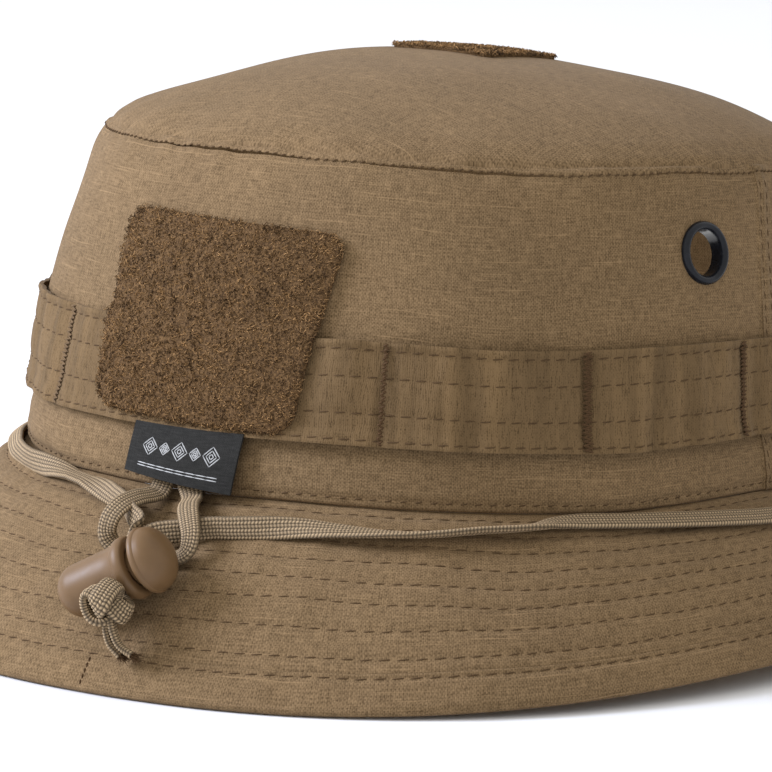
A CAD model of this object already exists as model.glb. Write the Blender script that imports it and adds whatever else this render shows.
import functools
import itertools
import math

import bmesh
import bpy
import numpy as np
from mathutils import Matrix, Vector


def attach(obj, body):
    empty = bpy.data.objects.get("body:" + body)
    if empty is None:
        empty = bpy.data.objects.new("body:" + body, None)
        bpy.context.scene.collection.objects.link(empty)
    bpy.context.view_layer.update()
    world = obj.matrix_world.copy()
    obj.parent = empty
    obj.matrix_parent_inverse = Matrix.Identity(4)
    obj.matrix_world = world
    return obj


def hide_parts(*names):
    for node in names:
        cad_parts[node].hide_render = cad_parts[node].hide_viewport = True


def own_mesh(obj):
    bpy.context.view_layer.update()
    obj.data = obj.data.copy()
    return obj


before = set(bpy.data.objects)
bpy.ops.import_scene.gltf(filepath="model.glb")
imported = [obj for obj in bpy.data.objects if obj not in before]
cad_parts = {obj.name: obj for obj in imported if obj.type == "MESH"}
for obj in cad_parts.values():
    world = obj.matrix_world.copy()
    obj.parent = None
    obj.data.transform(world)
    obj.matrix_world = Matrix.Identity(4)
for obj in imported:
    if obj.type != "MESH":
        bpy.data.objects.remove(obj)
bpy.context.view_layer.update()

MM = 0.001

# ---------------------------------------------------------------- driving sizes, as in the CAD model

BASE_HALF_WIDTH = 93.0 * MM
BASE_HALF_LENGTH = 99.7 * MM
BASE_POWER = 2.2
BASE_HEIGHT = 35.0 * MM
BASE_RISE_TO_BACK = 0.049
TIP_HALF_WIDTH = 84.3 * MM
TIP_HALF_LENGTH = 84.9 * MM
TIP_POWER = 2.07
TIP_SHIFT_FORWARD = 7.5 * MM
TIP_HEIGHT = 110.8 * MM
TIP_RISE_TO_BACK = 0.0776
TIP_RISE_TO_RIGHT = 0.0099
SIDE_FULLNESS = 1.82
SIDE_LENGTH = 80.0 * MM
DOME_HEIGHT = 19.8 * MM
DOME_POWER = 2.3
BRIM_RUN_SIDE = 32.7 * MM
BRIM_RUN_END = 42.5 * MM
BRIM_SLOPE_LENGTH = 55.0 * MM
BRIM_STRAIGHTNESS = 0.5
BRIM_SIDE_LIFT = 5.5 * MM
BRIM_LEVEL_ARC = 0.35
BAND_LOW = 0.18
BAND_HIGH = 0.475
BAND_SEAM_ANGLE = -62.0
BARTACK_COUNT = 13
PATCH_WIDTH = 56.8 * MM
PATCH_LOW = 0.203
PATCH_HIGH = 0.778
PATCH_CORNER = 5.5 * MM
PATCH_SHIFT = 2.0 * MM
PATCH_TILT = 0.030
PATCH_SPREAD = 1.6087
BACK_CURVATURE = 1.04
TOP_PATCH_SIZE = 28.5 * MM
TOP_PATCH_FORWARD = 13.5 * MM
TOP_PATCH_CORNER = 2.5 * MM
LABEL_WIDTH = 30.0 * MM
LABEL_LOW = 0.012
LABEL_HIGH = 0.189
LABEL_SHIFT = 3.0 * MM
EYELET_ANGLE = 13.0
EYELET_HEIGHT = 0.737
EYELET_RADIUS = 7.4 * MM
EYELET_BORE = 5.3 * MM
SWEATBAND_HEIGHT = 0.42
GAP = 0.35 * MM

# Drawcord route over the brim: polar angle in degrees, distance out from the crown and height, in mm
LOCK_CENTRE = Vector((7.0, -132.5, 25.6)) * MM
LOCK_AXIS = Vector((0.8704, 0.1901, 0.4542)).normalized()
CORD_DIRECTION = Vector((0.3897, -0.8297, -0.3996)).normalized()
STRAND_OFFSET = 1.95 * MM
KNOT_DISTANCE = 12.0 * MM
ROUTE_LEFT = [
    (-88.6, 15.2, 5.0), (-90.6, 12.6, 4.8), (-92.9, 10.0, 4.2), (-96.7, 7.5, 3.0), (-100.7, 5.5, 2.2),
    (-104.1, 4.4, 1.8), (-107.8, 3.7, 1.6), (-111.2, 3.3, 1.8), (-115.3, 3.4, 2.1), (-119.4, 3.5, 2.0),
    (-124.2, 3.4, 1.8), (-131.0, 3.2, 1.5), (-143.0, 3.2, 1.4), (-157.0, 3.6, 1.4), (-171.0, 4.5, 1.5),
    (-185.0, 5.4, 1.5), (-199.0, 6.2, 1.5), (-213.0, 6.6, 1.5), (-227.0, 6.8, 1.5), (-241.0, 7.0, 1.5),
    (-255.0, 7.0, 1.5), (-270.0, 7.0, 1.5)]
ROUTE_RIGHT = [
    (-285.0, 7.0, 1.5), (-299.0, 7.2, 1.5), (-313.0, 7.6, 1.5), (-327.0, 8.0, 1.5), (-341.0, 8.6, 1.5),
    (-354.5, 8.5, 1.6), (-365.5, 8.2, 1.6), (-375.0, 6.8, 1.6), (-383.4, 5.4, 1.6), (-390.3, 4.5, 1.6),
    (-395.8, 4.3, 1.7), (-399.6, 4.8, 1.8), (-402.9, 6.2, 2.1), (-409.1, 7.4, 2.3), (-415.0, 9.0, 2.3),
    (-420.0, 9.5, 2.2), (-426.6, 9.3, 1.9), (-430.2, 9.4, 1.9), (-434.9, 10.4, 2.2), (-438.1, 11.2, 2.5),
    (-440.4, 11.8, 2.8), (-443.4, 13.6, 3.5), (-446.4, 16.0, 4.6)]
KEEPER_ENDS = 3.0 * MM
KEEPER = [
    (-91.6, 3.0, 1.7), (-91.6, 5.4, 2.6), (-91.6, 8.6, 5.2), (-91.8, 12.0, 7.2), (-92.2, 15.0, 7.0),
    (-92.4, 17.2, 4.6), (-91.6, 18.2, 2.2), (-89.4, 18.6, 1.6), (-85.8, 18.8, 1.5), (-82.9, 18.8, 2.0),
    (-81.5, 17.9, 3.7), (-81.4, 15.7, 5.6), (-82.3, 13.0, 6.2), (-83.4, 10.4, 5.8), (-84.4, 8.0, 4.5),
    (-85.4, 5.4, 2.6), (-86.4, 3.0, 1.7)]

# How the flat cord is rolled: polar angle and the tilt of its width above the brim, in degrees
CORD_ROLL = [
    (-152.0, 0.0), (-142.0, -8.0), (-131.0, -30.0), (-124.2, -54.0), (-119.4, -58.0), (-115.3, -40.0),
    (-111.2, 0.0), (-107.8, 24.0),
    (-104.1, 22.0), (-100.7, -5.0), (-96.7, -40.0), (-92.9, -50.0), (-88.6, -30.0), (-86.0, -40.0),
    (-83.0, -55.0), (-80.2, -62.0), (-74.9, -50.0), (-70.2, -14.0), (-66.6, 12.0), (-62.0, 36.0),
    (-55.0, 50.0), (-49.1, 52.0), (-42.9, 46.0), (-39.6, 20.0), (-35.8, 6.0), (-23.4, 4.0)]

# Details of the sewing, which only the looks need
CORD_WIDTH = 5.2 * MM
CORD_THICKNESS = 1.4 * MM
SHOULDER_REACH = 9.0 * MM
SHOULDER_DEPTH = 2.1 * MM
BAND_WIDTH = 24.0 * MM
BAND_ROWS = (0.055, 0.306, 0.657, 0.917)
BARTACK_STITCHES = 46
SEAM_ROWS = (1.2 * MM, 4.1 * MM)
LOWER_EDGE_ROW = 2.1 * MM
LIP_DEPTH = 1.7 * MM
KNOT_TURN = 20.0
BRIM_STEADY_ROWS = (0.062, 0.679, 0.785, 0.858)
BRIM_DRIFTING_ROWS = ((0.150, 0.190), (0.255, 0.300), (0.358, 0.416), (0.461, 0.500), (0.564, 0.583))
BRIM_MEAN_RADIUS = 120.0 * MM
BINDING_RADIUS = 140.0 * MM
BINDING_ROW = 3
BINDING_START = 0.84
BINDING_JOINT_ANGLE = -88.5
NOSE_REACH = 0.968
NOSE_SHIFT = -0.73 * MM
NOSE_RADIUS = 1.2 * MM
ROUND_FACETS = 72
SLOT_HALF_HEIGHT = 2.3 * MM
SLOT_REACH = 12.0 * MM

# The viewing angle, in degrees, and the lens
VIEW_AZIMUTH = 36.58
VIEW_ELEVATION = 10.28
VIEW_ROLL = 0.47
VIEW_DISTANCE = 1.3932
VIEW_SHIFT = -0.01298
VIEW_HEIGHT = 0.04922
VIEW_LENS = 268.5


# ---------------------------------------------------------------- number fields

def smoothstep(value, low, high):
    t = np.clip((np.asarray(value, float) - low) / (high - low), 0.0, 1.0)
    return t * t * (3.0 - 2.0 * t)


def unit(vectors):
    return vectors / np.linalg.norm(vectors, axis=-1, keepdims=True)


def lengths_along(points):
    """The distance travelled along a line at each of its points."""
    return np.concatenate([[0], np.cumsum(np.linalg.norm(np.diff(points, axis=0), axis=1))])


def flat_grid(first, second):
    """Coordinates for noise on a sheet laid flat."""
    return np.stack([first, second, np.zeros_like(first)], -1)


def bell(value, width):
    return np.exp(-(np.asarray(value, float) / width) ** 2)


def hashed(i, j, k, seed):
    """A repeatable number from -1 to 1 for each cell of a lattice."""
    n = (i * 73856093) ^ (j * 19349663) ^ (k * 83492791) ^ (seed * 40503157)
    n = n & 0x7FFFFFFF
    n = ((n ^ (n >> 13)) * 1274126177) & 0x7FFFFFFF
    n = n ^ (n >> 16)
    return (n & 0xFFFF) / 32767.5 - 1.0


def noise(points, size, seed):
    """Smooth noise from -1 to 1 at points in space, with bumps about as big as size."""
    grid = np.asarray(points, float) / size
    cell = np.floor(grid).astype(np.int64)
    t = grid - cell
    t = t * t * (3.0 - 2.0 * t)
    total = np.zeros(grid.shape[:-1])
    for corner in itertools.product((0, 1), repeat=3):
        weight = np.ones(grid.shape[:-1])
        for axis, side in enumerate(corner):
            weight = weight * (t[..., axis] if side else 1.0 - t[..., axis])
        total += weight * hashed(*(cell[..., axis] + corner[axis] for axis in range(3)), seed)
    return total


def relax(points):
    """The cloth's slackness: everything sewn together drifts together, and the brim's edge stays level."""
    points = np.asarray(points, float)
    drift = np.stack([noise(points, 58 * MM, seed) for seed in (1, 2, 3)], -1) * 1.0 * MM
    drift += np.stack([noise(points, 23 * MM, seed) for seed in (4, 5, 6)], -1) * 0.35 * MM
    hold = smoothstep(points[..., 2], 0.0, 26 * MM)
    drift[..., 2] *= hold
    drift[..., :2] *= (0.3 + 0.7 * hold)[..., None]
    return points + drift


# ---------------------------------------------------------------- surfaces of the hat

def ring_radius(angle, half_width, half_length, power):
    across = (np.abs(np.cos(angle)) / half_width) ** power
    along = (np.abs(np.sin(angle)) / half_length) ** power
    return (across + along) ** (-1.0 / power)


def direction(angle):
    return np.stack([np.cos(angle), np.sin(angle)], -1)


def base_ring(angle):
    radius = ring_radius(angle, BASE_HALF_WIDTH, BASE_HALF_LENGTH, BASE_POWER)
    flat = direction(angle) * radius[..., None]
    return np.concatenate([flat, (BASE_HEIGHT - BASE_RISE_TO_BACK * flat[..., 1])[..., None]], -1)


def tip_ring(angle):
    radius = ring_radius(angle, TIP_HALF_WIDTH, TIP_HALF_LENGTH, TIP_POWER)
    flat = direction(angle) * radius[..., None] + np.array([0.0, TIP_SHIFT_FORWARD])
    height = TIP_HEIGHT - TIP_RISE_TO_BACK * flat[..., 1] + TIP_RISE_TO_RIGHT * flat[..., 0]
    return np.concatenate([flat, height[..., None]], -1)


def edge_ring(angle):
    radius = ring_radius(angle, BASE_HALF_WIDTH + BRIM_RUN_SIDE, BASE_HALF_LENGTH + BRIM_RUN_END, BASE_POWER)
    flat = direction(angle) * radius[..., None]
    towards_side = np.clip((np.abs(np.cos(angle)) - BRIM_LEVEL_ARC) / (1 - BRIM_LEVEL_ARC), 0, 1)
    return np.concatenate([flat, (BRIM_SIDE_LIFT * towards_side ** 2)[..., None]], -1)


def shoulder(point, angle, distance):
    """Rounds the meeting of side and dome; distance is measured from the sharp corner."""
    depth = SHOULDER_DEPTH * (1 - np.clip(distance / SHOULDER_REACH, 0, 1)) ** 2
    point[..., :2] -= direction(angle) * (0.75 * depth)[..., None]
    point[..., 2] -= 0.66 * depth
    return point


def crown_side(angle, height):
    base, tip = base_ring(angle), tip_ring(angle)
    lean = (np.clip(height, 0, None) ** SIDE_FULLNESS)[..., None]
    point = base * (1 - lean) + tip * lean
    point[..., 2] = base[..., 2] * (1 - height) + tip[..., 2] * height
    return shoulder(point, angle, (1 - height) * SIDE_LENGTH)


def dome(angle, reach):
    middle = np.array([0.0, TIP_SHIFT_FORWARD, TIP_HEIGHT - TIP_RISE_TO_BACK * TIP_SHIFT_FORWARD])
    point = middle + (tip_ring(angle) - middle) * reach[..., None]
    point[..., 2] += DOME_HEIGHT * (1 - reach ** DOME_POWER)
    return shoulder(point, angle, (1 - reach) * TIP_HALF_WIDTH)


def brim(angle, reach):
    base, edge = base_ring(angle), edge_ring(angle)
    edge[..., :2] += direction(angle) * 0.8 * MM
    point = base + (edge - base) * reach[..., None]
    fall = BRIM_STRAIGHTNESS * reach + (1 - BRIM_STRAIGHTNESS) * reach ** 2
    point[..., 2] = base[..., 2] + (edge[..., 2] - base[..., 2]) * fall
    return point


def normals(surface, angle, along, outward):
    step = 1e-4
    across = surface(angle + step, along) - surface(angle - step, along)
    up = surface(angle, along + step) - surface(angle, along - step)
    return unit(np.cross(across, up) * outward)


def lifted(surface, outward, angle, along, distance):
    """Points of a surface moved out along its normals."""
    angle, along = np.broadcast_arrays(np.asarray(angle, float), np.asarray(along, float))
    distance = np.broadcast_to(np.asarray(distance, float), angle.shape)
    return surface(angle, along) + normals(surface, angle, along, outward) * distance[..., None]


def on_crown(angle, height, distance=0.0):
    return lifted(crown_side, 1, angle, height, distance)


def on_dome(angle, reach, distance=0.0):
    return lifted(dome, -1, angle, np.clip(reach, 0.004, None), distance)


def over_brim(angle, reach, distance=0.0):
    return lifted(brim, -1, angle, reach, distance)


def around(value, turn=2 * math.pi):
    """An angle brought into the half turn on each side of zero."""
    return (np.asarray(value, float) + turn / 2) % turn - turn / 2


# ---------------------------------------------------------------- building meshes

def add_mesh(name, points, faces, finish, uvs=None, body="hat", shade=None):
    """A smooth piece from points and faces; uvs has one row for each corner of each face, in metres."""
    mesh = bpy.data.meshes.new(name)
    mesh.from_pydata(np.asarray(points, float).reshape(-1, 3).tolist(), [], faces)
    if uvs is not None:
        layer = mesh.uv_layers.new(name="Cloth")
        layer.data.foreach_set("uv", np.asarray(uvs, float).ravel())
    if shade is not None:
        tint = mesh.attributes.new("shade", "FLOAT", "POINT")
        tint.data.foreach_set("value", np.asarray(shade, float))
    work = bmesh.new()
    work.from_mesh(mesh)
    bmesh.ops.recalc_face_normals(work, faces=work.faces)
    work.to_mesh(mesh)
    work.free()
    mesh.shade_smooth()
    mesh.set_sharp_from_angle(angle=math.radians(60))
    mesh.materials.append(finish)
    thing = bpy.data.objects.new(name, mesh)
    bpy.context.scene.collection.objects.link(thing)
    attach(thing, body)
    return thing


def stand_in(piece, node):
    """The piece takes the place of the CAD node of that name."""
    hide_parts(node)
    return piece


def quads(i, j, i2, j2, columns):
    """Four-sided faces of a grid of points, from the row and column numbers of opposite corners."""
    return np.stack([i * columns + j, i2 * columns + j, i2 * columns + j2, i * columns + j2], -1).reshape(-1, 4)


def without_spares(points, corners):
    """The points that some face uses, and the new number of each."""
    used = np.unique(corners)
    renumber = np.zeros(len(points), np.int64)
    renumber[used] = np.arange(len(used))
    return points[used], renumber


def shell(name, outer, inner, u, v, finish, wrap, holes=None, body="hat"):
    """A closed sheet from two grids of points of one shape; u and v are its metric coordinates."""
    rows, columns = outer.shape[:2]
    u = np.asarray(u, float)
    v = np.asarray(v, float)
    count = rows if wrap else rows - 1
    i, j = np.meshgrid(np.arange(count), np.arange(columns - 1), indexing="ij")
    kept = np.ones((count, columns - 1), bool) if holes is None else ~holes
    corners = [(i + a, j + b) for a, b in ((0, 0), (1, 0), (1, 1), (0, 1))]
    ids = np.stack([row % rows * columns + column for row, column in corners], -1)
    coordinates = np.stack([np.stack([u[row], v[column]], -1) for row, column in corners], -2)
    total = rows * columns
    faces = [ids[kept], ids[kept] + total]
    spots = [coordinates[kept], coordinates[kept]]

    def wall(first, second, uv_first, uv_second):
        faces.append(np.stack([first, second, second + total, first + total], -1))
        spots.append(np.stack([uv_first, uv_second, uv_second, uv_first], -2))

    for k, a, b in ((0, 0, 1), (columns - 2, 3, 2)):
        good = kept[:, k]
        wall(ids[good, k, a], ids[good, k, b], coordinates[good, k, a], coordinates[good, k, b])
    if not wrap:
        for k, a, b in ((0, 0, 3), (count - 1, 1, 2)):
            wall(ids[k, :, a], ids[k, :, b], coordinates[k, :, a], coordinates[k, :, b])
    if holes is not None:
        along, across = kept[:, :-1] != kept[:, 1:], kept[:-1] != kept[1:]
        for cells, spot, a in ((ids[:, :-1][along], coordinates[:, :-1][along], 3),
                               (ids[:-1][across], coordinates[:-1][across], 1)):
            wall(cells[:, a], cells[:, 2], spot[:, a], spot[:, 2])
    faces = np.concatenate([f.reshape(-1, 4) for f in faces])
    spots = np.concatenate([s.reshape(-1, 4, 2) for s in spots])
    points = relax(np.concatenate([outer.reshape(-1, 3), inner.reshape(-1, 3)]))
    points, renumber = without_spares(points, faces)
    return add_mesh(name, points, renumber[faces].tolist(), finish, spots, body)


def threads(paths, radius, sides=5, cap=0.35):
    """Many short round threads, each a row of points, as one set of points and faces."""
    paths = np.asarray(paths, float)
    count, length = paths.shape[:2]
    tangent = np.gradient(paths, axis=1)
    tangent /= np.linalg.norm(tangent, axis=-1, keepdims=True) + 1e-12
    guide = np.where(np.abs(tangent[..., 2:3]) < 0.9, [[[0.0, 0.0, 1.0]]], [[[1.0, 0.0, 0.0]]])
    side = unit(np.cross(tangent, guide))
    up = np.cross(side, tangent)
    taper = np.ones(length)
    taper[0] = taper[-1] = cap
    turn = np.arange(sides) * 2 * math.pi / sides
    ring = (side[..., None, :] * np.cos(turn)[:, None] + up[..., None, :] * np.sin(turn)[:, None])
    radius = np.broadcast_to(np.asarray(radius, float).reshape(-1, 1, 1, 1), (count, 1, 1, 1))
    points = paths[:, :, None, :] + ring * radius * taper[None, :, None, None]
    i, k = np.meshgrid(np.arange(length - 1), np.arange(sides), indexing="ij")
    walls = quads(i, k, i + 1, (k + 1) % sides, sides)[:, [0, 3, 2, 1]]
    base = np.arange(count)[:, None, None] * (length * sides)
    faces = (walls[None] + base).reshape(-1, 4).tolist()
    for start, flip in ((0, -1), ((length - 1) * sides, 1)):
        lid = np.arange(sides)[::flip] + start
        faces += (lid[None] + base[:, :, 0]).tolist()
    return points.reshape(-1, 3), faces


def evenly(points, pitch):
    """Where a dense line is cut into equal steps: (distances of the steps, distance of each point)."""
    travelled = lengths_along(points)
    count = max(1, int(round(travelled[-1] / pitch)))
    return np.linspace(0, travelled[-1], count + 1), travelled


def stitches(line, outward, pitch=3.9 * MM, visible=0.88, sink=0.22 * MM, arch=0.12 * MM, slant=0.16 * MM):
    """The thread paths of a row of stitches along a dense line, with the cloth's outward directions."""
    steps, travelled = evenly(line, pitch)
    parts = np.linspace(0, 1, 6)
    starts = steps[:-1][:, None] + (steps[1] - steps[0]) * (0.5 - visible / 2 + visible * parts)[None]
    at = np.stack([np.interp(starts, travelled, axis) for axis in line.T], -1)
    out = unit(np.stack([np.interp(starts, travelled, axis) for axis in outward.T], -1))
    rise = arch * np.sin(math.pi * parts) ** 0.7 - sink * (1 - np.sin(math.pi * parts))
    sideways = np.cross(out, unit(np.gradient(at, axis=1)))
    return at + out * rise[None, :, None] + sideways * (slant * (parts - 0.5) * 2)[None, :, None]


def stitched(surface, first, second, lift, *settings, side=1):
    """A row of stitches along a line on a surface; side is -1 on its under face."""
    line = surface(first, second, lift)
    outward = unit(surface(first, second, lift + 1 * MM) - line)
    return stitches(line, outward * side, *settings)


def sewn(name, paths, radius=0.155 * MM, finish=None):
    points, faces = threads(np.concatenate(paths), radius)
    add_mesh(name, relax(points), faces, finish or thread())


# ---------------------------------------------------------------- node materials

def new_material(name):
    shader = bpy.data.materials.new(name)
    shader.use_nodes = True
    tree = shader.node_tree
    return shader, tree, tree.nodes["Principled BSDF"]


def plug(tree, socket, value):
    if isinstance(value, bpy.types.NodeSocket):
        tree.links.new(value, socket)
    else:
        socket.default_value = value


def add(tree, kind, settings=None, **inputs):
    """A node with its settings, and inputs given as values or as another node's output."""
    made = tree.nodes.new(kind)
    for key, value in (settings or {}).items():
        setattr(made, key, value)
    for key, value in inputs.items():
        plug(tree, made.inputs[int(key[1:])] if key[1:].isdigit() else made.inputs[key], value)
    return made


def math_node(tree, operation, first, second=0.0, third=0.0, clamp=False):
    made = add(tree, "ShaderNodeMath", {"operation": operation, "use_clamp": clamp}, i0=first, i1=second, i2=third)
    return made.outputs[0]


def mixed(tree, factor, first, second, blend="MIX"):
    made = tree.nodes.new("ShaderNodeMix")
    made.data_type = "RGBA"
    made.blend_type = blend
    for number, value in ((0, factor), (6, first), (7, second)):
        plug(tree, made.inputs[number], value)
    return made.outputs[2]


def ramp(tree, value, *stops):
    made = tree.nodes.new("ShaderNodeValToRGB")
    tree.links.new(value, made.inputs[0])
    elements = made.color_ramp.elements
    while len(elements) < len(stops):
        elements.new(0.5)
    for element, (place, level) in zip(elements, stops):
        element.position = place
        element.color = (level, level, level, 1.0)
    return made.outputs[0]


def stretched_noise(tree, vector, scale, detail=2.0, roughness=0.5):
    """Noise on metric coordinates, with its own scale for each direction."""
    mapped = add(tree, "ShaderNodeMapping", Vector=vector, Scale=scale)
    return add(tree, "ShaderNodeTexNoise", None, Vector=mapped.outputs[0], Scale=1.0, Detail=detail,
               Roughness=roughness).outputs[0]


def wave(tree, along, period):
    """A sine of a metric coordinate, from -1 to 1."""
    return math_node(tree, "SINE", math_node(tree, "MULTIPLY_ADD", along, 2 * math.pi / period, 0.0))


def connect(tree, principled, colour, roughness, specular, height, bump, distance):
    """Gives the shader its colour, gloss and relief."""
    plug(tree, principled.inputs["Base Color"], colour)
    plug(tree, principled.inputs["Roughness"], roughness)
    principled.inputs["Specular IOR Level"].default_value = specular
    relief = add(tree, "ShaderNodeBump", None, Strength=bump, Distance=distance, Height=height)
    plug(tree, principled.inputs["Normal"], relief.outputs[0])


def cloth(name, dark, light, slub=0.5, across=1.0, bump=0.5, pitch=0.00046, blotch=(28.0, 50.0), depth=0.08):
    """Matt plain weave: crossed threads of uneven strength, lighter slub lines, soft patches of wear."""
    shader, tree, principled = new_material(name)
    place = add(tree, "ShaderNodeUVMap", {"uv_map": "Cloth"}).outputs[0]
    calc = functools.partial(math_node, tree)

    def grain(scale_u, scale_v, detail=1.0, roughness=0.5):
        return stretched_noise(tree, place, (scale_u, scale_v, 1.0), detail, roughness)

    split = add(tree, "ShaderNodeSeparateXYZ", None, Vector=place)
    shift = calc("MULTIPLY_ADD", grain(160.0, 160.0, 2.0), 0.0022, -0.0011)
    u, v = (calc("ADD", split.outputs[axis], shift) for axis in (0, 1))
    crossing = calc("MULTIPLY", wave(tree, u, 2 * pitch), wave(tree, v, 2 * pitch))
    weave = calc("ADD", crossing, calc("MULTIPLY", wave(tree, u, pitch), 0.5 * across))
    uneven = calc("ADD", grain(320.0, 2300.0), calc("MULTIPLY", grain(2300.0, 320.0), across))
    level = calc("MULTIPLY_ADD", weave, 0.11, calc("MULTIPLY", uneven, 0.5))
    level = calc("MULTIPLY_ADD", calc("SUBTRACT", grain(2600.0, 2600.0, 2.0, 0.7), 0.5), 0.5, level)
    colour = mixed(tree, ramp(tree, level, (0.25, 0.0), (0.78, 1.0)), (*dark, 1.0), (*light, 1.0))
    worn = ramp(tree, grain(*blotch, 4.0, 0.6), (0.3, 1.0 - depth), (0.7, 1.0 + depth))
    colour = mixed(tree, 1.0, colour, worn, "MULTIPLY")
    row = calc("MULTIPLY", split.outputs[1], 1 / 0.0062)
    row = calc("MULTIPLY_ADD", grain(30.0, 6.0, 2.0), 0.35, row)
    row = calc("ABSOLUTE", calc("SUBTRACT", calc("FRACT", row), 0.5))
    present = ramp(tree, grain(45.0, 330.0), (0.50, 0.0), (0.60, 1.0))
    stray = ramp(tree, grain(60.0, 3000.0, 0.0), (0.70, 0.0), (0.78, 0.6))
    lines = calc("MAXIMUM", calc("MULTIPLY", ramp(tree, row, (0.0, 1.0), (0.027, 0.0)), present), stray)
    pale = tuple(min(1.0, c * 1.4) for c in light)
    colour = mixed(tree, calc("MULTIPLY", lines, slub), colour, (*pale, 1.0))
    connect(tree, principled, colour, 0.9, 0.12, calc("MULTIPLY_ADD", lines, 0.2, level), bump, 0.0002)
    principled.inputs["Sheen Weight"].default_value = 0.04
    principled.inputs["Sheen Roughness"].default_value = 0.5
    principled.inputs["Sheen Tint"].default_value = (0.85, 0.80, 0.75, 1.0)
    return shader


def plain(name, colour, roughness, variation=0.12, size=900.0, metallic=0.0, bump=0.1, specular=0.5):
    """A simple surface with fine mottling in its colour, roughness and relief."""
    shader, tree, principled = new_material(name)
    place = add(tree, "ShaderNodeTexCoord").outputs["Object"]
    grain = stretched_noise(tree, place, (size, size, size), 3.0, 0.6)
    level = ramp(tree, grain, (0.3, 1.0 - variation), (0.7, 1.0 + variation))
    rough = math_node(tree, "MULTIPLY_ADD", grain, 0.2, roughness - 0.1)
    tinted = mixed(tree, 1.0, (*colour, 1.0), level, "MULTIPLY")
    connect(tree, principled, tinted, rough, specular, grain, bump, 0.0001)
    principled.inputs["Metallic"].default_value = metallic
    return shader


def stored_shade(tree):
    return add(tree, "ShaderNodeAttribute", {"attribute_name": "shade"}).outputs["Fac"]


@functools.cache
def webbing():
    """Braided cord: rows of slanted yarns with dark gaps between them."""
    shader, tree, principled = new_material("braided_webbing")
    place = add(tree, "ShaderNodeUVMap", {"uv_map": "Cloth"}).outputs[0]
    fibre = stretched_noise(tree, place, (2500.0, 900.0, 1.0), 2.0, 0.6)
    colour = mixed(tree, stored_shade(tree), (0.012, 0.007, 0.003, 1.0), (0.50, 0.36, 0.21, 1.0))
    tinted = mixed(tree, 1.0, colour, ramp(tree, fibre, (0.3, 0.85), (0.7, 1.15)), "MULTIPLY")
    connect(tree, principled, tinted, 0.7, 0.2, fibre, 0.3, 0.00015)
    return shader


@functools.cache
def pile():
    """Loop pile: every fibre has its own stored shade, and fine speckles fill in between."""
    shader, tree, principled = new_material("loop_pile_fibre")
    place = add(tree, "ShaderNodeTexCoord").outputs["Object"]
    speckle = stretched_noise(tree, place, (2100.0, 2100.0, 2100.0), 3.0, 0.7)
    spread = math_node(tree, "MULTIPLY_ADD", speckle, 1.1, -0.55)
    level = math_node(tree, "ADD", stored_shade(tree), spread, clamp=True)
    colour = mixed(tree, level, (0.036, 0.019, 0.008, 1.0), (0.44, 0.255, 0.108, 1.0))
    connect(tree, principled, colour, 0.9, 0.12, speckle, 0.8, 0.0004)
    return shader


@functools.cache
def ripstop():
    return cloth("ripstop_cloth", (0.086, 0.053, 0.024), (0.246, 0.160, 0.081))


@functools.cache
def band_cloth():
    return cloth("band_cloth", (0.046, 0.027, 0.010), (0.146, 0.092, 0.043), slub=0.12, across=2.2, bump=0.6,
                 blotch=(170.0, 14.0), depth=0.26)


@functools.cache
def thread():
    return plain("sewing_thread", (0.080, 0.047, 0.022), 0.8, 0.2, 2500.0, specular=0.12)


@functools.cache
def dark_thread():
    return plain("bartack_thread", (0.076, 0.042, 0.019), 0.8, 0.25, 2500.0, specular=0.12)


@functools.cache
def pale_thread():
    return plain("pale_thread", (0.128, 0.081, 0.042), 0.8, 0.30, bump=0.25, specular=0.12)


@functools.cache
def black_enamel():
    return plain("black_enamel", (0.008, 0.009, 0.012), 0.25, 0.3, 500.0, bump=0.03, specular=0.22)


@functools.cache
def brown_plastic():
    return plain("moulded_plastic", (0.142, 0.080, 0.034), 0.46, 0.06, 350.0, bump=0.05, specular=0.3)


# ---------------------------------------------------------------- camera

def camera():
    """The viewing angle: right rear quarter, a little above the brim."""
    azimuth, elevation, roll = (math.radians(a) for a in (VIEW_AZIMUTH, VIEW_ELEVATION, VIEW_ROLL))
    back = Vector((math.sin(azimuth) * math.cos(elevation), -math.cos(azimuth) * math.cos(elevation),
                   math.sin(elevation)))
    level = Vector((math.cos(azimuth), math.sin(azimuth), 0.0))
    right = level * math.cos(roll) + back.cross(level) * math.sin(roll)
    up = back.cross(right)
    target = level * VIEW_SHIFT + Vector((0.0, 0.0, VIEW_HEIGHT))
    placed = Matrix((right, up, back)).transposed().to_4x4()
    placed.translation = target + back * VIEW_DISTANCE
    lens = bpy.data.cameras.new("view")
    lens.lens = VIEW_LENS
    lens.sensor_width = 36.0
    lens.clip_start = 0.05
    thing = bpy.data.objects.new("view", lens)
    thing.matrix_world = placed
    bpy.context.scene.collection.objects.link(thing)
    bpy.context.scene.camera = thing


# ---------------------------------------------------------------- braided cord

def on_brim(place):
    """A point over the brim from a polar angle in degrees, a distance out and a height, in mm."""
    angle = np.array(math.radians(place[0]))
    run = np.linalg.norm(edge_ring(angle)[:2]) - np.linalg.norm(base_ring(angle)[:2])
    return over_brim(angle, np.array(place[1] * MM / run), place[2] * MM)


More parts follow.
